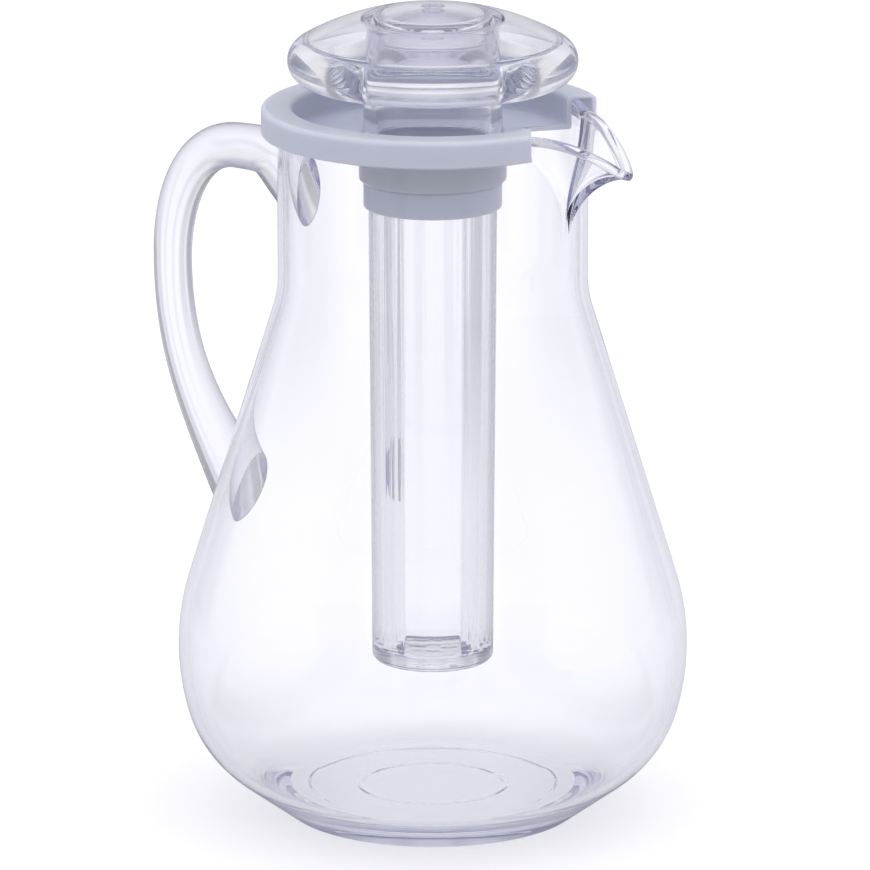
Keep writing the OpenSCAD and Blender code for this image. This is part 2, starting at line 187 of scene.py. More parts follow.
def plain_rows(outline):
    """Rings of the turned body, one for each point of its outline. The fan of columns widens below the
    spout."""
    fans = FAN_LEAST + (FAN_WIDEST - FAN_LEAST) * np.clip((SPOUT_ROOT_Z - outline[:, 1]) / FAN_FALL, 0, 1)
    return np.stack([
        np.stack([r * np.cos(columns(fan)), r * np.sin(columns(fan)), np.full(len(columns(fan)), z)], -1)
        for (r, z), fan in zip(outline, fans)
    ])


def spout_rows(ts, shape):
    """Rings of the neck above the spout's foot: the spout between its creases and the round neck
    elsewhere."""
    r, root_z, half = shape[0], shape[1], shape[4]
    rings = []
    for t in ts:
        crease = max(half * t**SPOUT_OPENING, 1e-6)
        f = columns(max(crease, FAN_LEAST))
        ring = np.stack([r * np.cos(f), r * np.sin(f), np.full(len(f), root_z + (LAND_Z - root_z) * t)], -1)
        turn = np.degrees(np.where(f > np.pi, f - 2 * np.pi, f))
        inside = np.abs(turn) <= crease + 1e-9
        ring[inside] = spout(t, turn[inside] / crease, *shape)
        rings.append(ring)
    return np.stack(rings)


def skin(name, rings, wraps=False):
    """A closed mesh over rings of points in millimetres. Rows join in quads; the first and last rows
    shrink to poles unless the rows wrap round into a tube. Rows run up the outside and down the inside,
    so the faces point outwards."""
    rings = np.asarray(rings, float) * 0.001
    rows, cols = rings.shape[:2]
    i, j = np.meshgrid(np.arange(rows if wraps else rows - 1), np.arange(cols), indexing="ij")
    k, down = (j + 1) % cols, (i + 1) % rows
    quads = np.stack([i * cols + j, i * cols + k, down * cols + k, down * cols + j], -1).reshape(-1, 4)
    points = rings.reshape(-1, 3)
    fans = []
    if not wraps:
        points = np.vstack([points, rings[0].mean(0), rings[-1].mean(0)])
        c = np.arange(cols)
        first, last = np.full(cols, rows * cols), np.full(cols, rows * cols + 1)
        top = (rows - 1) * cols
        fans = np.vstack([
            np.stack([first, (c + 1) % cols, c], -1),
            np.stack([last, top + c, top + (c + 1) % cols], -1),
        ]).tolist()
    mesh = bpy.data.meshes.new(name)
    mesh.from_pydata(points.tolist(), [], quads.tolist() + fans)
    mesh.update()
    mesh.polygons.foreach_set("use_smooth", np.ones(len(mesh.polygons), bool))
    piece = bpy.data.objects.new(name, mesh)
    bpy.context.scene.collection.objects.link(piece)
    return piece


foot_arc = heel_turn(0, FOOT_ROUND, 0, 5)
floor_arc = heel_turn(WALL, FLOOR_BLEND, FLOOR_Z, 8)
outside = np.vstack([
    rounded([
        [NEAR_AXIS, RECESS_D, 0],
        [TURNED_RING_R - TURNED_RING_HALF, RECESS_D, 3.0],
        [TURNED_RING_R, RECESS_D - TURNED_RING_D, 3.0],
        [TURNED_RING_R + TURNED_RING_HALF, RECESS_D, 3.0],
        [RECESS_TOP_R, RECESS_D, 0.5],
        [RECESS_R, 0, 0.3],
        [*foot_arc[0], 0],
    ], 6),
    foot_arc[1:],
    line(foot_arc[-1], side_outline(0)[0], 8),
    side_outline(0),
    line([NECK_R, BLEND_C[1]], [NECK_R, SPOUT_ROOT_Z], 6),
    [[NECK_R, SPOUT_ROOT_Z]],
])
inside = np.vstack([
    line([0, FLOOR_Z], floor_arc[0], 8),
    floor_arc,
    line(floor_arc[-1], side_outline(WALL)[0], 3),
    side_outline(WALL),
    line([NECK_R - WALL, BLEND_C[1]], [NECK_R - WALL, INNER_ROOT_Z], 6),
    [[NECK_R - WALL, INNER_ROOT_Z]],
])[::-1]
climb = np.sin(np.linspace(0, np.pi / 2, 46))[1:-2]

# The bead is a round rod carried along the lip. Its side and up directions follow the lip's line, smoothed
# where the line turns sharply at the tip and at the creases.
rim = spout_rows([1.0], MIDDLE)[0]
along = np.roll(rim, -1, 0) - np.roll(rim, 1, 0)
side = np.stack([along[:, 1], -along[:, 0], np.zeros(len(along))], -1)
for _ in range(3):
    side = (np.roll(side, 1, 0) + 2 * side + np.roll(side, -1, 0)) / 4
side /= np.linalg.norm(side, axis=1, keepdims=True)
up = np.cross(side, along)
up /= np.linalg.norm(up, axis=1, keepdims=True)
round_bead = toward(np.linspace(-41, 221, 19))
bead = np.stack([rim + BEAD_R * (a * side + b * up) for a, b in round_bead])

pitcher = skin("pitcher_body_clear", np.concatenate([
    plain_rows(outside),
    spout_rows(climb, OUTER),
    bead,
    spout_rows(climb[::-1], INNER),
    plain_rows(inside),
]))


def added(nodes, *kinds):
    """New shader nodes of some kinds, in a node tree's nodes."""
    return [nodes.new("ShaderNode" + kind) for kind in kinds]


def moulded_finish():
    """Plastic out of a polished mould: broad ripples that bend highlights a little, a fine haze of
    handling marks that dulls the gloss in patches, and a colour that drifts with the ripples between two
    tints: a faint tone in most plastics, and painted shade streaks on the ice tube."""
    group = bpy.data.node_groups.new("moulded_finish", "ShaderNodeTree")
    face = group.interface
    for name in ("Ripple Size", "Ripple Height", "Haze Low", "Haze High"):
        face.new_socket(name=name, in_out="INPUT", socket_type="NodeSocketFloat")
    for name in ("Tint Low", "Tint High"):
        face.new_socket(name=name, in_out="INPUT", socket_type="NodeSocketColor")
    face.new_socket(name="Ripple Shape", in_out="INPUT", socket_type="NodeSocketVector")
    for name, kind in (("Color", "Color"), ("Roughness", "Float"), ("Normal", "Vector")):
        face.new_socket(name=name, in_out="OUTPUT", socket_type="NodeSocket" + kind)
    nodes, join = group.nodes, group.links.new
    given, out = nodes.new("NodeGroupInput"), nodes.new("NodeGroupOutput")

    place, drawn, ripple, bump = added(nodes, "TexCoord", "VectorMath", "TexNoise", "Bump")
    drawn.operation = "MULTIPLY"
    ripple.inputs["Detail"].default_value = 1.5
    bump.inputs["Strength"].default_value = 1.0
    join(place.outputs["Object"], drawn.inputs[0])
    join(given.outputs["Ripple Shape"], drawn.inputs[1])
    join(drawn.outputs[0], ripple.inputs["Vector"])
    join(given.outputs["Ripple Size"], ripple.inputs["Scale"])
    join(given.outputs["Ripple Height"], bump.inputs["Distance"])
    join(ripple.outputs["Fac"], bump.inputs["Height"])
    join(bump.outputs["Normal"], out.inputs["Normal"])

    haze, patches = added(nodes, "TexNoise", "MapRange")
    haze.inputs["Scale"].default_value = 55.0
    haze.inputs["Detail"].default_value = 6.0
    patches.inputs["From Min"].default_value = 0.45
    patches.inputs["From Max"].default_value = 0.8
    join(place.outputs["Object"], haze.inputs["Vector"])
    join(haze.outputs["Fac"], patches.inputs["Value"])
    join(given.outputs["Haze Low"], patches.inputs["To Min"])
    join(given.outputs["Haze High"], patches.inputs["To Max"])
    join(patches.outputs["Result"], out.inputs["Roughness"])

    # The colour drifts with the ripples between Tint Low and Tint High: a faint tone on most plastics, and
    # painted shade streaks on the ice tube.
    tone_and_streak_shade = nodes.new("ShaderNodeMix")
    tone_and_streak_shade.data_type = "RGBA"
    join(ripple.outputs["Fac"], tone_and_streak_shade.inputs["Factor"])
    join(given.outputs["Tint Low"], tone_and_streak_shade.inputs[6])
    join(given.outputs["Tint High"], tone_and_streak_shade.inputs[7])
    join(tone_and_streak_shade.outputs[2], out.inputs["Color"])
    return group


FINISH = moulded_finish()
PLASTIC_IOR = 1.49
SHADE_THROUGH = (0.93, 0.93, 0.95)


def plastic(name, tints, haze, ripple, drawn=(1, 1, 1)):
    """A moulded plastic with the finish above. tints and haze are the low and the high of its colour and
    of its roughness. ripple is the size and the height of its ripples, and drawn stretches them along an
    axis where it is below 1."""
    material = bpy.data.materials.new(name)
    material.use_nodes = True
    nodes, join = material.node_tree.nodes, material.node_tree.links.new
    shader, finish = nodes["Principled BSDF"], nodes.new("ShaderNodeGroup")
    finish.name, finish.node_tree = "Finish", FINISH
    finish.inputs["Ripple Size"].default_value, finish.inputs["Ripple Height"].default_value = ripple
    finish.inputs["Ripple Shape"].default_value = drawn
    finish.inputs["Haze Low"].default_value, finish.inputs["Haze High"].default_value = haze
    finish.inputs["Tint Low"].default_value = (*tints[0], 1)
    finish.inputs["Tint High"].default_value = (*tints[1], 1)
    for given, taken in (("Color", "Base Color"), ("Roughness", "Roughness"), ("Normal", "Normal")):
        join(finish.outputs[given], shader.inputs[taken])
    shader.inputs["IOR"].default_value = PLASTIC_IOR
    return material


def clear_plastic(name, tints, haze, ripple, depth, painted_rim_shade, drawn=(1, 1, 1)):
    """A plastic that light passes through. depth is the colour and the density of what it absorbs on the
    way. The rim colour and its power are a painted shade: where the plastic is seen along its skin its base
    colour is darkened to that colour, standing in for the dark rims that refraction gives, and the higher
    the power, the narrower that painted rim. The lamps' light goes straight through to the table."""
    material = plastic(name, tints, haze, ripple, drawn)
    nodes, join = material.node_tree.nodes, material.node_tree.links.new
    shader, finish, out = nodes["Principled BSDF"], nodes["Finish"], nodes["Material Output"]
    shader.inputs["Transmission Weight"].default_value = 1.0
    # Painted shade: Layer Weight's Facing darkens the base colour towards the rim colour where the surface
    # is seen side-on, standing in for the dark rims that refraction gives.
    facing, along, tint = added(nodes, "LayerWeight", "Math", "Mix")
    along.operation, along.inputs[1].default_value = "POWER", painted_rim_shade[1]
    tint.data_type = "RGBA"
    tint.inputs[7].default_value = (*painted_rim_shade[0], 1)
    join(facing.outputs["Facing"], along.inputs[0])
    join(along.outputs[0], tint.inputs["Factor"])
    join(finish.outputs["Color"], tint.inputs[6])
    join(tint.outputs[2], shader.inputs["Base Color"])

    through, path, either = added(nodes, "BsdfTransparent", "LightPath", "MixShader")
    through.inputs["Color"].default_value = (*SHADE_THROUGH, 1)
    join(path.outputs["Is Shadow Ray"], either.inputs["Fac"])
    join(shader.outputs["BSDF"], either.inputs[1])
    join(through.outputs["BSDF"], either.inputs[2])
    join(either.outputs["Shader"], out.inputs["Surface"])
    absorbs = nodes.new("ShaderNodeVolumeAbsorption")
    absorbs.inputs["Color"].default_value = (*depth[0], 1)
    absorbs.inputs["Density"].default_value = depth[1]
    join(absorbs.outputs["Volume"], out.inputs["Volume"])
    return material


pitcher.data.materials.append(clear_plastic(
    "clear_body_plastic",
    tints=((0.985, 0.985, 0.995), (0.99, 0.99, 1.0)),
    haze=(0.0, 0.03),
    ripple=(14, 0.00008),
    depth=((0.5, 0.52, 0.8), 2.0),
    # Painted shade: lilac-grey rims where the body is seen side-on.
    painted_rim_shade=((0.74, 0.75, 0.83), 3.0),
))
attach(pitcher, "pitcher")
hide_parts("pitcher_body")

# HANDLE
# A solid clear rod, bent hot into an ear and welded to the neck and to the shoulder.
# It is thickest where it spreads on to the body, and slimmest down the back.

WELD_TOP_Z = 207.5
WELD_LOW_Z = 102.5
WELD_TOP_R = 8.6
WELD_LOW_R = 10.6
RISE = 46.0
FALL = 56.0
CREST = (76.0, 220.0)
CREST_R = 7.7
FAR = (102.0, 179.0)
FAR_R = 6.5
TOP_ROOT = 12.0
LOW_ROOT = 14.0
ROOT_ROWS = 24
CUT_ROWS = 60
SKIN_GAP = 0.05


def pulled(p, u, q, v, a, b, t):
    """A cubic curve that leaves p along u and comes into q along v, as the weighted sum of its four
    control points. a and b are the lengths of its pulls, as shares of the way from p to q."""
    p, q, u, v = (np.asarray(x, float) for x in (p, q, u, v))
    span, t = np.linalg.norm(q - p), t[:, None]
    leave, come = p + a * span * u, q - b * span * v
    return (1 - t)**3 * p + 3 * t * (1 - t)**2 * leave + 3 * t * t * (1 - t) * come + t**3 * q


rise_d, fall_d, level_out, straight_down = toward(RISE), -toward(FALL), (1, 0), (0, -1)
weld_top = np.array([NECK_R, WELD_TOP_Z])
weld_low_r = SHOULDER_P[0] - (WELD_LOW_Z - SHOULDER_P[1]) * np.tan(np.radians(SHOULDER))
weld_low = np.array([weld_low_r, WELD_LOW_Z])
step = np.linspace(0, 1, 49)
rod = np.vstack([
    weld_top - rise_d * np.linspace(TOP_ROOT, 0.4, ROOT_ROWS)[:, None],
    pulled(weld_top, rise_d, CREST, level_out, 0.61, 0.58, step),
    pulled(CREST, level_out, FAR, straight_down, 0.37, 0.4, step)[1:],
    pulled(FAR, straight_down, weld_low, fall_d, 0.4, 0.38, step)[1:],
    weld_low + fall_d * np.linspace(0.4, LOW_ROOT, ROOT_ROWS)[:, None],
])
thick = np.concatenate([
    np.full(ROOT_ROWS, WELD_TOP_R),
    WELD_TOP_R + (CREST_R - WELD_TOP_R) * step,
    (CREST_R + (FAR_R - CREST_R) * step)[1:],
    (FAR_R + (WELD_LOW_R - FAR_R) * step**3)[1:],
    np.full(ROOT_ROWS, WELD_LOW_R),
])[:, None]
ahead = np.gradient(rod, axis=0)
ahead /= np.linalg.norm(ahead, axis=1, keepdims=True)
turn = np.linspace(0, 2 * np.pi, 65)[:-1]
rod_rows = np.stack([
    -rod[:, :1] - thick * np.cos(turn) * ahead[:, 1:],
    -thick * np.sin(turn),
    rod[:, 1:] - thick * np.cos(turn) * ahead[:, :1],
], -1)
wall_line = np.vstack([side_outline(-SKIN_GAP), [[NECK_R + SKIN_GAP, LAND_Z]]])


def wall_radius(heights):
    """The body's outside radius at some heights, read off its outline."""
    return np.interp(heights, wall_line[:, 1], wall_line[:, 0])


def trimmed(rows):
    """The rod's rings with their first stretch cut off inside the body. Each of the rod's long lines is
    cut where its distance from the axis passes the body's radius, and the nearest rings are spread evenly
    up to the cut."""
    near = rows[:CUT_ROWS]
    stand = np.hypot(near[..., 0], near[..., 1]) - wall_radius(near[..., 2])
    k = np.arange(stand.shape[1])
    last_in = len(near) - 1 - np.argmax(stand[::-1] < 0, axis=0)
    start = last_in - stand[last_in, k] / (stand[last_in + 1, k] - stand[last_in, k])
    at = np.linspace(0, 1, 30)[:, None] ** 1.3 * (CUT_ROWS - start) + start
    low = np.floor(at).astype(int)
    part = (at - low)[..., None]
    return np.concatenate([rows[low, k] * (1 - part) + rows[low + 1, k] * part, rows[CUT_ROWS + 1:]])


def end_on_wall(ring):
    """Rings that close the rod's end against the body: the end's outline shrunk to its middle and laid on
    the wall."""
    middle = ring.mean(0)
    rings = middle + (ring - middle) * np.array([0.96, 0.85, 0.6, 0.35, 0.12])[:, None, None]
    rings[..., 0] = -np.sqrt(wall_radius(rings[..., 2])**2 - rings[..., 1]**2)
    return rings


rod_rows = trimmed(trimmed(rod_rows)[::-1])[::-1]
handle = skin("handle_rod_clear", np.concatenate([
    end_on_wall(rod_rows[0])[::-1],
    rod_rows,
    end_on_wall(rod_rows[-1]),
]))
handle.data.materials.append(clear_plastic(
    "clear_rod_plastic",
    tints=((0.985, 0.985, 0.995), (0.995, 0.995, 1.0)),
    haze=(0.0, 0.04),
    ripple=(22, 0.0002),
    depth=((0.5, 0.51, 0.74), 10.0),
    # Painted shade: dark rims where the rod is seen side-on.
    painted_rim_shade=((0.1, 0.1, 0.15), 1.5),
))
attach(handle, "pitcher")
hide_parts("handle")

# LID
# Opaque cool white plastic with a satin gloss, moulded as a ring that hooks over the lip.
# A shallow dish carries a socket for the ice tube, and a gap is left over the spout.

LID_WALL = 1.6
ROOF_T = 1.0
REST_GAP = 0.3
FIT = 0.08
RING_R = 57.0
RING_H = 9.0
DISH_D = 9.6
SOCKET_H = 14.0
SOCKET_WALL = 1.4
SOCKET_TIP = 0.3
SOCKET_BEVEL = 1.0
SLEEVE_R = 23.1
SPIGOT_R = 21.8

LID_TOP_Z = LIP_Z + REST_GAP + ROOF_T
LID_FOOT_Z = LID_TOP_Z - RING_H
DISH_Z = LID_TOP_Z - DISH_D
DISH_UNDER_Z = DISH_Z - LID_WALL
SOCKET_FOOT_Z = DISH_UNDER_Z - SOCKET_H
RING_IN_R = LIP_R - BEAD_R - REST_GAP - LID_WALL
SOCKET_R = SLEEVE_R + FIT
HOLE_R = SPIGOT_R + FIT
round_lid = np.radians(np.linspace(0, 360, 241)[:-1])


def turned(radii, heights, around):
    """Rings about the axis, one for each height. radii gives each ring one radius, or one for each angle in
    around."""
    radii, heights = np.asarray(radii, float), np.asarray(heights, float)
    r, z, a = np.broadcast_arrays(radii.reshape(len(heights), -1), heights[:, None], around)
    return np.stack([r * np.cos(a), r * np.sin(a), z], -1)


lid_outline = rounded([
    [RING_R - LID_WALL / 2, LID_FOOT_Z, 0],
    [RING_R, LID_FOOT_Z, 0.5],
    [RING_R, LID_TOP_Z, 1.5],
    [RING_IN_R, LID_TOP_Z, 1.5],
    [RING_IN_R, DISH_Z, 1.2],
    [HOLE_R, DISH_Z, 0.2],
    [HOLE_R, DISH_UNDER_Z, 0.2],
    [SOCKET_R, DISH_UNDER_Z, 0.2],
    [SOCKET_R, SOCKET_FOOT_Z, 0.1],
    [SOCKET_R + SOCKET_TIP, SOCKET_FOOT_Z, 0.3],
    [SOCKET_R + SOCKET_WALL, SOCKET_FOOT_Z + SOCKET_BEVEL, 0.3],
    [SOCKET_R + SOCKET_WALL, DISH_UNDER_Z, 0.5],
    [RING_IN_R + LID_WALL, DISH_UNDER_Z, 0.9],
    [RING_IN_R + LID_WALL, LID_TOP_Z - ROOF_T, 0.4],
    [RING_R - LID_WALL, LID_TOP_Z - ROOF_T, 0.5],
    [RING_R - LID_WALL, LID_FOOT_Z, 0.3],
    [RING_R - LID_WALL / 2, LID_FOOT_Z, 0],
], 4)[:-1][::-1]
lid = skin("lid_white", turned(*lid_outline.T, round_lid), wraps=True)

# The gap over the spout is a wedge cut out of the ring. Its one side points at the axis, GAP_FAR round
# from the spout. The other leaves it at an open angle, and passes the ring's edge GAP_NEAR on the spout's
# other side.
GAP_FAR = 46.5
GAP_NEAR = 25.7
GAP_OPEN = 105.0
GAP_UNDER_Z = 228.5
GAP_OVER_Z = 246.0
corner_r = RING_R * np.sin(np.radians(GAP_OPEN - GAP_FAR - GAP_NEAR)) / np.sin(np.radians(GAP_OPEN))
gap_corner = corner_r * toward(GAP_FAR)
wedge_foot = gap_corner + 2 * RING_R * np.stack([[0, 0], toward(GAP_FAR), toward(GAP_FAR - GAP_OPEN)])
wedge_points = np.array([[x, y, z] for z in (GAP_UNDER_Z, GAP_OVER_Z) for x, y in wedge_foot]) * 0.001
wedge_mesh = bpy.data.meshes.new("lid_gap")
wedge_faces = [(0, 1, 2), (5, 4, 3), (1, 0, 3, 4), (2, 1, 4, 5), (0, 2, 5, 3)]
wedge_mesh.from_pydata(wedge_points.tolist(), [], wedge_faces)
wedge = bpy.data.objects.new("lid_gap", wedge_mesh)
bpy.context.scene.collection.objects.link(wedge)
cut = lid.modifiers.new("gap", "BOOLEAN")
cut.object, cut.operation, cut.solver = wedge, "DIFFERENCE", "EXACT"
bpy.context.view_layer.objects.active = lid
lid.select_set(True)
bpy.ops.object.modifier_apply(modifier="gap")
bpy.data.objects.remove(wedge)
lid.data.set_sharp_from_angle(angle=np.radians(40))

white_plastic = plastic(
    "white_satin_plastic",
    tints=((0.55, 0.58, 0.71), (0.58, 0.61, 0.74)),
    haze=(0.28, 0.42),
    ripple=(60, 0.0001),
)
white_shader = white_plastic.node_tree.nodes["Principled BSDF"]
white_shader.inputs["Subsurface Weight"].default_value = 0.8
white_shader.inputs["Subsurface Radius"].default_value = (1.0, 1.0, 1.1)
white_shader.inputs["Subsurface Scale"].default_value = 0.008
lid.data.materials.append(white_plastic)
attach(lid, "lid")
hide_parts("lid")

# TUBE SLEEVE
# Opaque white plastic, the same as the lid's. It plugs into the socket from below and
# has a seat at its top for the ice tube's flange.

SLEEVE_FOOT_Z = 208.3
TUBE_TOP_Z = 227.0
TUBE_TOP_R = 21.4
FLANGE_R = 22.3
FLANGE_T = 1.8
GLUE = 0.05
SEAT_Z = TUBE_TOP_Z - FLANGE_T - GLUE

sleeve_outline = rounded([
    [FLANGE_R, SLEEVE_FOOT_Z, 0],
    [SLEEVE_R, SLEEVE_FOOT_Z, 0.5],
    [SLEEVE_R, TUBE_TOP_Z, 0.2],
    [FLANGE_R + GLUE, TUBE_TOP_Z, 0.2],
    [FLANGE_R + GLUE, SEAT_Z, 0.1],
    [TUBE_TOP_R + GLUE, SEAT_Z, 0.2],
    [TUBE_TOP_R + GLUE, SLEEVE_FOOT_Z, 0.3],
    [FLANGE_R, SLEEVE_FOOT_Z, 0],
], 4)[:-1]
sleeve = skin("tube_sleeve_white", turned(*sleeve_outline.T, round_lid), wraps=True)
sleeve.data.materials.append(white_plastic)
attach(sleeve, "ice_core")
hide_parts("tube_sleeve")

# ICE TUBE
# Clear moulded plastic, round outside and six-sided inside, closed at the foot.
# Its flange is glued on the sleeve's seat, and ice goes in from the top.

TUBE_FOOT_Z = 51.6
TUBE_FOOT_R = 20.4
TUBE_ROUND = 2.4
TAPER_END_Z = 206.6
MOUTH_R = 20.5
BORE_LOW_R = 17.4
BORE_SPREAD = 1.0
BORE_TOP_Z = 228.0
BORE_FLOOR_Z = 55.0
BORE_FLOOR_R = 15.1
BORE_ROUND = 3.0
round_tube = np.radians(np.linspace(0, 360, 289)[:-1])


def six_sided(flats, around, crisp=70):
    """Radii of hexagons with slightly rounded corners, one row for each distance to the flats: a high
    power mean of the six flats' distances."""
    facing = np.clip(np.cos(around - np.radians(60 * np.arange(6))[:, None]), 0, None)
    return np.outer(flats, (facing**crisp).sum(0) ** (-1 / crisp))


tube_outline = rounded([
    [NEAR_AXIS, TUBE_FOOT_Z, 0],
    [TUBE_FOOT_R, TUBE_FOOT_Z, TUBE_ROUND],
    [TUBE_TOP_R, TAPER_END_Z, 3.0],
    [TUBE_TOP_R, TUBE_TOP_Z - FLANGE_T, 0.15],
    [FLANGE_R, TUBE_TOP_Z - FLANGE_T, 0.2],
    [FLANGE_R, TUBE_TOP_Z, 0.3],
    [MOUTH_R, TUBE_TOP_Z, 0],
], 8)
bore_z = np.concatenate([[TUBE_TOP_Z, 226.8, 226.3], np.linspace(225, 62, 60), np.linspace(60.5, 58, 6)])
bore_corners = BORE_LOW_R + BORE_SPREAD * (bore_z - TUBE_FOOT_Z) / (BORE_TOP_Z - TUBE_FOOT_Z)
bore_flats = bore_corners * np.cos(np.radians(30))
bore_flats[:2] += [0.5, 0.15]
floor_turn, to_circle = np.radians(np.linspace(0, 90, 9)[1:, None]), np.linspace(0.2, 1, 8)[:, None]
floor_edge = (1 - to_circle) * six_sided(BORE_FLOOR_R, round_tube) + to_circle * BORE_FLOOR_R
floor_radii = floor_edge - BORE_ROUND * (1 - np.cos(floor_turn))
floor_z = BORE_FLOOR_Z + BORE_ROUND * (1 - np.sin(floor_turn[:, 0]))
tube = skin("ice_tube_clear", np.concatenate([
    turned(*tube_outline.T, round_tube),
    turned(six_sided(bore_flats, round_tube), bore_z, round_tube),
    turned(floor_radii, floor_z, round_tube),
    turned([9, 6, 3, 1], np.full(4, BORE_FLOOR_Z), round_tube),
]))
tube.data.materials.append(clear_plastic(
    "clear_tube_plastic",
    # Painted shade: the colour drifts between these tints on ripples drawn out upright, giving darker
    # upright streaks that stand in for the bore's refracted light and shade.
    tints=((0.93, 0.93, 0.95), (1.0, 1.0, 1.0)),
    haze=(0.0, 0.03),
    ripple=(220, 0.0004),
    depth=((0.6, 0.62, 0.74), 3.0),
    # Painted shade: dark rims where the tube is seen side-on.
    painted_rim_shade=((0.06, 0.07, 0.1), 2.2),
    drawn=(1, 1, 0.01),
))
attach(tube, "ice_core")
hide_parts("ice_tube")

# CAP
# Thick clear plastic, moulded in one piece: a domed disc with a round rim, a six-sided
# hollow under the dome, and a hollow stem that stands on the dish and plugs into the lid.

RIM_C = np.array([40.7, 257.4])
RIM_ROUND = 7.5
DOME_R = 90.0
DOME_T = 3.6
DIMPLE_ARC = 7.54
DIMPLE_D = 0.5
SKIRT_Z = 249.95
HOLLOW_R = 41.8
HOLLOW_FLAT = HOLLOW_R * np.cos(np.radians(30))
HOLLOW_ROUND = 41.0
STEM_R = 23.4
STEM_TOP_R = 21.7
STEM_TOP_Z = 269.0
STEM_GAP = 0.05
STEM_FOOT_Z = DISH_Z + STEM_GAP
STEM_BORE_R = 18.6
SPIGOT_FOOT_Z = TUBE_TOP_Z + REST_GAP

dome_z = RIM_C[1] - np.sqrt((DOME_R - RIM_ROUND)**2 - RIM_C[0]**2)
dome_edge = np.degrees(np.arctan((RIM_C[1] - dome_z) / RIM_C[0]))
cap_outline = np.vstack([
    arc([0, dome_z + DOME_R + DIMPLE_ARC - DIMPLE_D], DIMPLE_ARC, -89.9, -69, 6),
    arc([0, dome_z], DOME_R, 88.3, dome_edge + 0.7, 26),
    arc(RIM_C, RIM_ROUND, dome_edge, -86, 26)[1:],
])


def roof_z(radii):
    """Heights of the hollow's roof over some radii: a sphere under the dome's, a wall's thickness
    smaller."""
    return dome_z + np.sqrt((DOME_R - DOME_T)**2 - np.square(radii))


# The hollow's wall is six-sided at the foot and turns round over its top quarter, by a smooth step.
lift = np.concatenate([[0, 0.03], np.linspace(0.07, 0.96, 20)])
hollow_z = SKIRT_Z + lift * (roof_z(HOLLOW_ROUND) - SKIRT_Z)
flats = np.concatenate([[HOLLOW_FLAT + 0.6, HOLLOW_FLAT + 0.2], np.full(20, HOLLOW_FLAT)])
share = np.clip((lift[:, None] - 0.72) / 0.24, 0, 1)
share = share * share * (3 - 2 * share)
hollow_radii = six_sided(flats, round_tube) * (1 - share) + HOLLOW_ROUND * share
roof_radii = np.array([*np.linspace(HOLLOW_ROUND - 0.4, 26, 14), 24, 22.3])
stem_outline = rounded([
    [STEM_TOP_R, STEM_TOP_Z, 0],
    [STEM_R, STEM_FOOT_Z, 0.4],
    [SPIGOT_R, STEM_FOOT_Z, 0.2],
    [SPIGOT_R, SPIGOT_FOOT_Z, 0.6],
    [STEM_BORE_R, SPIGOT_FOOT_Z, 0.6],
    [STEM_BORE_R, 240, 0],
], 5)
bore_roof = np.array([18.2, 16, 10, 4, 1])
cap = skin("cap_clear", np.concatenate([
    turned(*cap_outline.T, round_tube),
    turned(hollow_radii, hollow_z, round_tube),
    turned(roof_radii, roof_z(roof_radii), round_tube),
    turned(*stem_outline.T, round_tube),
    turned(np.full(12, STEM_BORE_R), np.linspace(241, 268, 12), round_tube),
    turned(bore_roof, roof_z(bore_roof), round_tube),
])[::-1])
cap.data.materials.append(clear_plastic(
    "clear_cap_plastic",
    tints=((0.985, 0.985, 0.995), (0.995, 0.995, 1.0)),
    haze=(0.0, 0.03),
    ripple=(25, 0.0001),
    depth=((0.6, 0.62, 0.72), 5.0),
    # Painted shade: grey rims where the cap is seen side-on.
    painted_rim_shade=((0.5, 0.51, 0.6), 3.0),
))
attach(cap, "cap")
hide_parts("cap")

# TABLE, LIGHT AND CAMERA
# A plain pale surface that goes to white, soft light from above, and a long lens that
# looks down a little on the pitcher with its spout turned to the right.

RIGHT = (0.866, 0.5, 0.0)
TABLE_COLOUR = (0.5, 0.5, 0.53, 1)
TABLE_GLOW = 0.53
NEARBY = 0.08

# Greys from the studio's left to its right: soft near the pitcher, and banded far off, as seen through it.
SOFT = [(0.0, 0.88), (0.2, 0.82), (0.4, 1.0), (0.6, 1.0), (0.8, 0.84), (1.0, 0.88)]
BANDS = [
    (0.0, 0.92), (0.08, 0.92), (0.11, 0.5), (0.2, 0.5), (0.24, 0.95), (0.28, 0.75),
    (0.33, 0.75), (0.37, 1.0), (0.41, 1.0), (0.43, 0.88), (0.45, 0.88), (0.47, 1.0),
    (0.53, 1.0), (0.55, 0.9), (0.57, 0.9), (0.59, 1.0), (0.63, 1.0), (0.67, 0.8),
    (0.71, 0.8), (0.75, 0.95), (0.79, 0.55), (0.89, 0.55), (0.92, 0.92), (1.0, 0.92),
]


def set_stops(ramp, stops):
    """Gives a colour ramp its stops, as rows of (place, colour)."""
    while len(ramp.color_ramp.elements) < len(stops):
        ramp.color_ramp.elements.new(0.5)
    for stop, (at, colour) in zip(ramp.color_ramp.elements, stops):
        stop.position, stop.color = at, (*colour, 1)


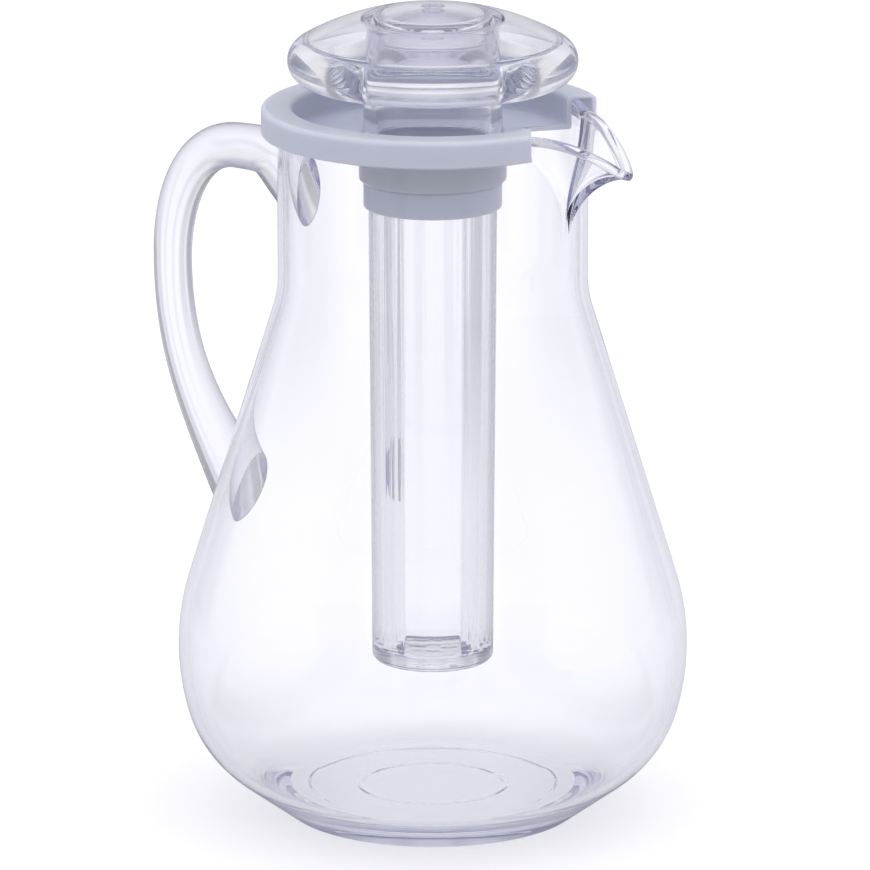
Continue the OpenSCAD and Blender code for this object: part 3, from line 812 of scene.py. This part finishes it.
def sideways(nodes, join, place, near, greys):
    """A grey that changes from the studio's left to its right: the share of a direction, or of a place on
    the floor with its distance taken as near longer, that points right."""
    far, across, longer, share, half, ramp = added(
        nodes, "VectorMath", "VectorMath", "Math", "Math", "Math", "ValToRGB")
    far.operation, across.operation = "LENGTH", "DOT_PRODUCT"
    share.operation, half.operation = "DIVIDE", "MULTIPLY_ADD"
    across.inputs[1].default_value = RIGHT
    longer.inputs[1].default_value = near
    half.inputs[1].default_value = half.inputs[2].default_value = 0.5
    join(place, far.inputs[0])
    join(place, across.inputs[0])
    join(far.outputs["Value"], longer.inputs[0])
    join(across.outputs["Value"], share.inputs[0])
    join(longer.outputs[0], share.inputs[1])
    join(share.outputs[0], half.inputs[0])
    join(half.outputs[0], ramp.inputs["Fac"])
    set_stops(ramp, [(at, (grey, grey, grey)) for at, grey in greys])
    return ramp.outputs["Color"]


bpy.ops.mesh.primitive_plane_add(size=12, location=(0, 0, -0.0001))
table = bpy.context.object
table.name = "table"
table_white = bpy.data.materials.new("table_white")
table_white.use_nodes = True
nodes, join = table_white.node_tree.nodes, table_white.node_tree.links.new
matt = nodes["Principled BSDF"]
matt.inputs["Base Color"].default_value = TABLE_COLOUR
matt.inputs["Roughness"].default_value = 0.9
matt.inputs["Specular IOR Level"].default_value = 0.0

# Painted light: where the table is seen through the plastic it glows as well as being lit, with soft greys
# that give way to bands with distance and a painted pool of light right under the pitcher.
place, away, painted_pool_under_pitcher, far, either = added(nodes, "TexCoord", "VectorMath", "MapRange", "MapRange", "Mix")
away.operation = "LENGTH"
join(place.outputs["Object"], away.inputs[0])
for fade, ends in ((painted_pool_under_pitcher, (0.05, 0.13, 0.1, 0.0)), (far, (0.4, 0.7, 0.0, 1.0))):
    join(away.outputs["Value"], fade.inputs["Value"])
    for name, value in zip(("From Min", "From Max", "To Min", "To Max"), ends):
        fade.inputs[name].default_value = value
join(far.outputs["Result"], either.inputs["Factor"])
join(sideways(nodes, join, place.outputs["Object"], NEARBY, SOFT), either.inputs[2])
join(sideways(nodes, join, place.outputs["Object"], NEARBY, BANDS), either.inputs[3])

# The table's glow: an even glow for camera rays, and for rays through the plastic the painted greys less
# the 0.5 that its lit colour gives, plus the painted pool of light under the pitcher.
path, less, both, through, level = added(nodes, "LightPath", "Math", "Math", "Math", "Math")
less.operation, through.operation, level.operation = "SUBTRACT", "MULTIPLY", "MULTIPLY_ADD"
less.inputs[1].default_value = 0.5
level.inputs[1].default_value = TABLE_GLOW
join(either.outputs[0], less.inputs[0])
join(less.outputs[0], both.inputs[0])
join(painted_pool_under_pitcher.outputs["Result"], both.inputs[1])
join(path.outputs["Is Transmission Ray"], through.inputs[0])
join(both.outputs[0], through.inputs[1])
join(path.outputs["Is Camera Ray"], level.inputs[0])
join(through.outputs[0], level.inputs[2])

glow, lit = added(nodes, "Emission", "AddShader")
join(level.outputs[0], glow.inputs["Strength"])
join(matt.outputs["BSDF"], lit.inputs[0])
join(glow.outputs["Emission"], lit.inputs[1])
join(lit.outputs["Shader"], nodes["Material Output"].inputs["Surface"])
table.data.materials.append(table_white)

world = bpy.data.worlds.new("studio")
bpy.context.scene.world = world
world.use_nodes = True
nodes, join = world.node_tree.nodes, world.node_tree.links.new
nodes.clear()
sky_out, place, apart, path = added(nodes, "OutputWorld", "TexCoord", "SeparateXYZ", "LightPath")
join(place.outputs["Generated"], apart.inputs[0])


def studio_part(colours, greys):
    """A background whose colour changes with height above the horizon, by rows of (sine of height,
    colour), and whose strength changes from left to right."""
    ramp, light = added(nodes, "ValToRGB", "Background")
    set_stops(ramp, colours)
    join(apart.outputs["Z"], ramp.inputs["Fac"])
    join(ramp.outputs["Color"], light.inputs["Color"])
    join(sideways(nodes, join, place.outputs["Generated"], 0.0, greys), light.inputs["Strength"])
    return light


plain, ambient = added(nodes, "Background", "Background")
plain.inputs["Color"].default_value = (1, 1, 1, 1)
ambient.inputs["Color"].default_value = (0.96, 0.96, 1, 1)
room = studio_part(
    [(0.0, (0.50, 0.50, 0.56)), (0.5, (0.56, 0.56, 0.62)), (1.0, (0.62, 0.62, 0.68))],
    [(0.0, 1.0), (0.5, 1.0), (0.75, 0.8), (1.0, 0.55)])
seen_through = studio_part(
    [(0.0, (1, 1, 1)), (0.12, (1, 1, 1)), (0.3, (0.74, 0.75, 0.84)), (0.7, (0.58, 0.59, 0.7))],
    BANDS)
last = ambient.outputs[0]
sky = [("Is Glossy Ray", room), ("Is Transmission Ray", seen_through), ("Is Camera Ray", plain)]
for kind, light in sky:
    pick = nodes.new("ShaderNodeMixShader")
    join(path.outputs[kind], pick.inputs["Fac"])
    join(last, pick.inputs[1])
    join(light.outputs[0], pick.inputs[2])
    last = pick.outputs[0]
join(last, sky_out.inputs["Surface"])

LAMP_SIZE = 1.6
LAMP_AIM = np.array([0, 0, 0.12])
LAMPS = [("key", (-0.9, -1.1, 1.5), 5), ("fill", (1.3, -0.7, 0.9), 3), ("top", (0.2, 0.5, 1.7), 5)]
for name, stand, power in LAMPS:
    lamp = bpy.data.lights.new(name, "AREA")
    lamp.size, lamp.energy = LAMP_SIZE, power
    holder = bpy.data.objects.new(name, lamp)
    bpy.context.scene.collection.objects.link(holder)
    holder.location, holder.visible_glossy, holder.visible_transmission = stand, False, False
    holder.rotation_euler = Vector(LAMP_AIM - np.array(stand)).to_track_quat("-Z", "Y").to_euler()

view = bpy.data.cameras.new("camera")
view.lens, view.sensor_width, view.clip_end = 318.6, 36, 50
view.shift_x = 2.2 / 870
camera = bpy.data.objects.new("camera", view)
bpy.context.scene.collection.objects.link(camera)
bpy.context.scene.camera = camera
AROUND, ABOVE, DISTANCE = np.radians(30.0), np.radians(14.8), 2.5795
target = np.array([0, 0, 0.129])
look = -np.array([np.sin(AROUND) * np.cos(ABOVE), -np.cos(AROUND) * np.cos(ABOVE), np.sin(ABOVE)])
camera.location = target - DISTANCE * look
camera.rotation_euler = Vector(look).to_track_quat("-Z", "Y").to_euler()

scene = bpy.context.scene
scene.view_settings.view_transform = "Standard"
scene.cycles.max_bounces = 200
scene.cycles.transmission_bounces = 200
scene.cycles.transparent_max_bounces = 64
scene.cycles.glossy_bounces = 200
